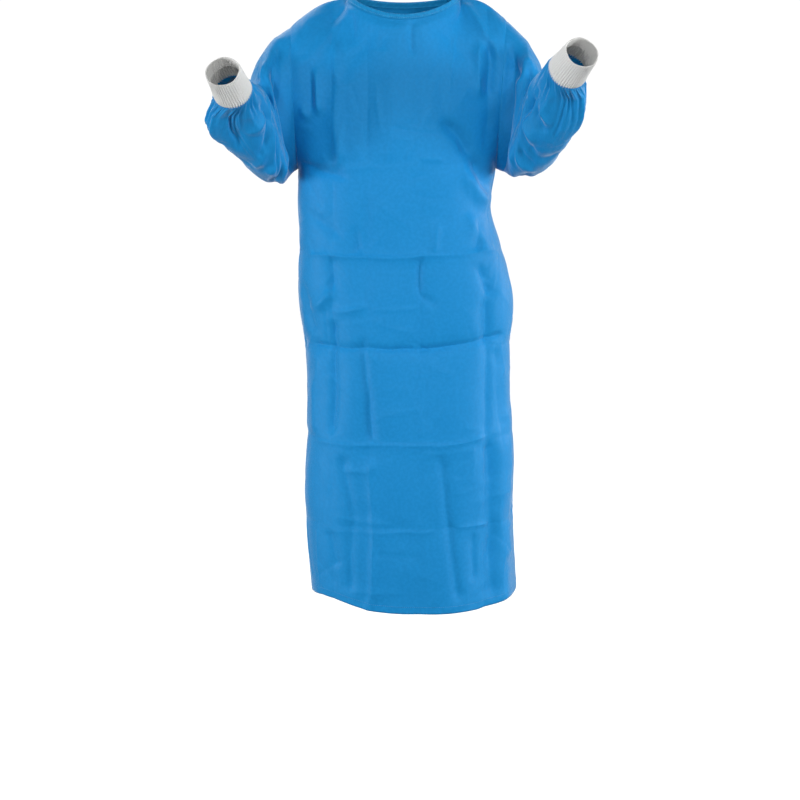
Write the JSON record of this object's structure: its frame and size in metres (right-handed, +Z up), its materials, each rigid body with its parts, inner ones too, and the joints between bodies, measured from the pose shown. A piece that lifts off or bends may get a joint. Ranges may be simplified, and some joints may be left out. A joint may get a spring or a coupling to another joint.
{
  "type": "surgical gown",
  "caption": "Worn surgical gown keeping its hollow form: long front, lapped back with waist ties, bent set-in sleeves and ribbed knit cuffs.",
  "frame": {"origin": "centre of the neck opening, level with its highest points on the shoulders, where the wearer holds the gown up", "axes": "+Z up from the hem to the neck, -Y the way the front faces, +X to the right as seen from the front"},
  "size_m": [0.7182, 0.5029, 1.2053],
  "materials": {
    "gown_cloth": "matt nonwoven",
    "neck_binding_cloth": "matt nonwoven, folded strip",
    "tie_cloth": "matt nonwoven, folded strip",
    "cuff_knit": "white rib knit",
    "tab_loop": "white brushed loop tape"
  },
  "bodies": {
    "root": {"front_panel_skirt": "gown_cloth", "front_panel_waist": "gown_cloth", "front_panel_chest": "gown_cloth", "back_left_skirt": "gown_cloth", "back_left_waist": "gown_cloth", "back_left_chest": "gown_cloth", "back_right_skirt": "gown_cloth", "back_right_waist": "gown_cloth", "back_right_chest": "gown_cloth", "sleeve_left_shoulder": "gown_cloth", "sleeve_left_upper": "gown_cloth", "sleeve_left_elbow": "gown_cloth", "sleeve_left_fore": "gown_cloth", "sleeve_right_shoulder": "gown_cloth", "sleeve_right_upper": "gown_cloth", "sleeve_right_elbow": "gown_cloth", "sleeve_right_fore": "gown_cloth", "cuff_left": "cuff_knit", "cuff_right": "cuff_knit", "neck_binding": "neck_binding_cloth", "tie_left": "tie_cloth", "tie_right": "tie_cloth", "tie_knot": "tie_cloth", "tail_left": "tie_cloth", "tail_right": "tie_cloth", "neck_tab": "tab_loop"}
  },
  "joints": []
}
